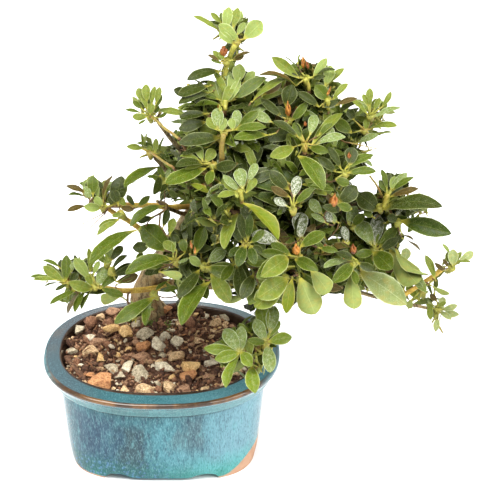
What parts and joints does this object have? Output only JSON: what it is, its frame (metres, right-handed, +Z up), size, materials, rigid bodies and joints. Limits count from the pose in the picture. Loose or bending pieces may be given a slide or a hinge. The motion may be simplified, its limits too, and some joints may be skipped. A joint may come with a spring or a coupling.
{
  "type": "azalea bonsai in an oval glazed pot",
  "caption": "Small azalea bonsai with a leaning trunk, spreading boughs and clustered leaves, growing in soil in an oval glazed ceramic pot on low feet.",
  "frame": {"origin": "on the surface that the pot stands on, under the middle of the whole plant's box; the pot's middle is 59 mm to the left of it and 16 mm in front of it", "axes": "+Z up, +X along the pot's long side towards the side that the plant leans to, -Y towards the front"},
  "size_m": [0.276, 0.1816, 0.308],
  "materials": {
    "glaze": "glossy mottled teal-blue glaze, with bare clay under the feet",
    "soil": "rough dark bark crumbs with small stones",
    "bark": "rough grey-brown bark",
    "foliage": "satin leaves, light green when young and dark green when older"
  },
  "bodies": {
    "root": {"bough_back_high": "bark", "bough_back_left": "bark", "bough_back_low": "bark", "bough_back_middle": "bark", "bough_back_right": "bark", "bough_centre": "bark", "bough_centre_low": "bark", "bough_centre_right": "bark", "bough_front": "bark", "bough_inner_left": "bark", "bough_low_centre": "bark", "bough_low_left": "bark", "bough_low_right": "bark", "bough_low_right_tip": "bark", "bough_mid_left": "bark", "bough_mid_left_under": "bark", "bough_right": "bark", "bough_right_high": "bark", "bough_right_tip": "bark", "bough_right_upper": "bark", "bough_upper_left_high": "bark", "bough_upper_left_low": "bark", "bough_upper_right": "bark", "foliage_back_high": "foliage", "foliage_back_left": "foliage", "foliage_back_low": "foliage", "foliage_back_middle": "foliage", "foliage_back_right": "foliage", "foliage_centre": "foliage", "foliage_centre_low": "foliage", "foliage_centre_right": "foliage", "foliage_crown_front": "foliage", "foliage_front_spray": "foliage", "foliage_inner_left": "foliage", "foliage_left_high": "foliage", "foliage_left_upper": "foliage", "foliage_low_centre": "foliage", "foliage_low_fringe": "foliage", "foliage_low_left": "foliage", "foliage_low_right": "foliage", "foliage_low_right_tip": "foliage", "foliage_mid_left": "foliage", "foliage_right": "foliage", "foliage_right_high": "foliage", "foliage_right_tip": "foliage", "foliage_right_upper": "foliage", "foliage_top": "foliage", "foliage_upper_right": "foliage", "pot": "glaze", "soil": "soil", "trunk": "bark"}
  },
  "joints": []
}
